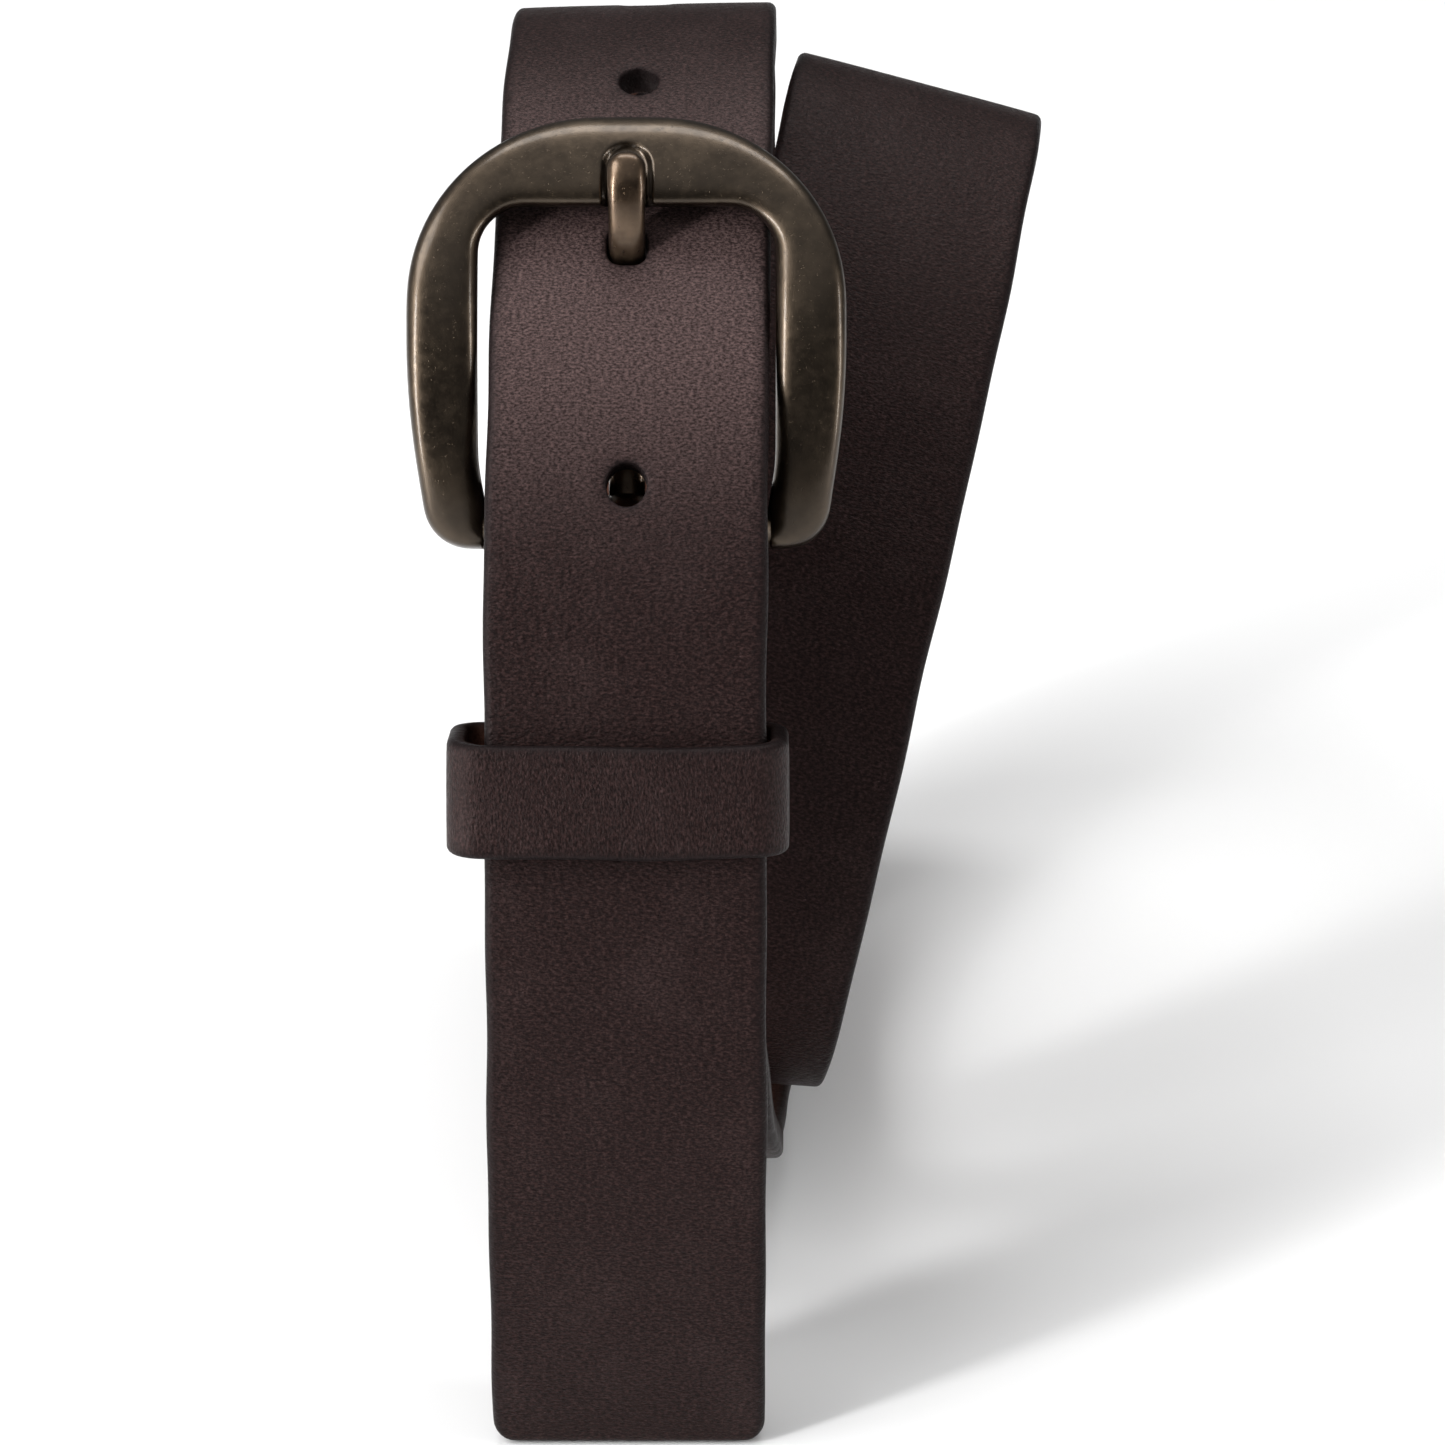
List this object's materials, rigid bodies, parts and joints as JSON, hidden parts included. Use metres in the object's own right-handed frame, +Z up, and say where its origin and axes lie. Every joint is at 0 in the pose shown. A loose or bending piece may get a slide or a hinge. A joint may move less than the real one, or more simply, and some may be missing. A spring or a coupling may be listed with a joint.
{
  "type": "leather belt",
  "caption": "Single-layer leather strap belt, buckled into a loop and coiled up, with a horseshoe frame buckle, a tongue, a leather keeper and a snapped turn-back.",
  "frame": {"origin": "on the patch of strap that the coil stands on, level with the floor", "axes": "+Z up, -Y towards the buckle side (front), +X to the right as seen from the front"},
  "size_m": [0.0722, 0.1453, 0.1326],
  "materials": {
    "leather": "dark chocolate brown, semi-matte, fine grain",
    "brass": "antiqued, dark olive brown with worn bright edges",
    "snap_metal": "nickel plated, satin",
    "staple_wire": "bright wire"
  },
  "bodies": {
    "strap": {"strap_buckle_end": "leather", "strap_outer_lower": "leather", "strap_outer_upper": "leather", "strap_inner_lower": "leather", "strap_inner_upper": "leather", "strap_over_bar": "leather", "snap_caps": "snap_metal", "snap_sockets": "snap_metal"},
    "buckle": {"buckle_frame": "brass", "strap_under_crossbar": "leather"},
    "tongue": {"tongue": "brass", "strap_over_tongue": "leather"},
    "keeper": {"keeper": "leather", "keeper_staple": "staple_wire"},
    "tip": {"strap_tip": "leather"},
    "turn_back": {"strap_turn_back": "leather", "snap_studs": "snap_metal", "snap_posts": "snap_metal"}
  },
  "joints": [
    {"name": "buckle_tilt", "type": "hinge", "parent": "strap", "child": "buckle", "pos_m": [-0.0103, -0.0408, 0.09352], "axis": [1, 0, 0], "range_deg": [0, 7]},
    {"name": "tongue_swing", "type": "hinge", "parent": "buckle", "child": "tongue", "pos_m": [-0.0103, -0.0408, 0.09352], "axis": [1, 0, 0], "range_deg": [0, 4]},
    {"name": "keeper_slide", "type": "slide", "parent": "strap", "child": "keeper", "axis": [0, 0.4362, 0.8998], "range_m": [-0.004, 0.004]},
    {"name": "tip_lift", "type": "hinge", "parent": "strap", "child": "tip", "pos_m": [-0.0103, -0.06975, 0.06211], "axis": [-1, 0, 0], "range_deg": [0, 25]},
    {"name": "turn_back_open", "type": "hinge", "parent": "strap", "child": "turn_back", "pos_m": [-0.0103, -0.03664, 0.09112], "axis": [1, 0, 0], "range_deg": [0, 12]}
  ]
}
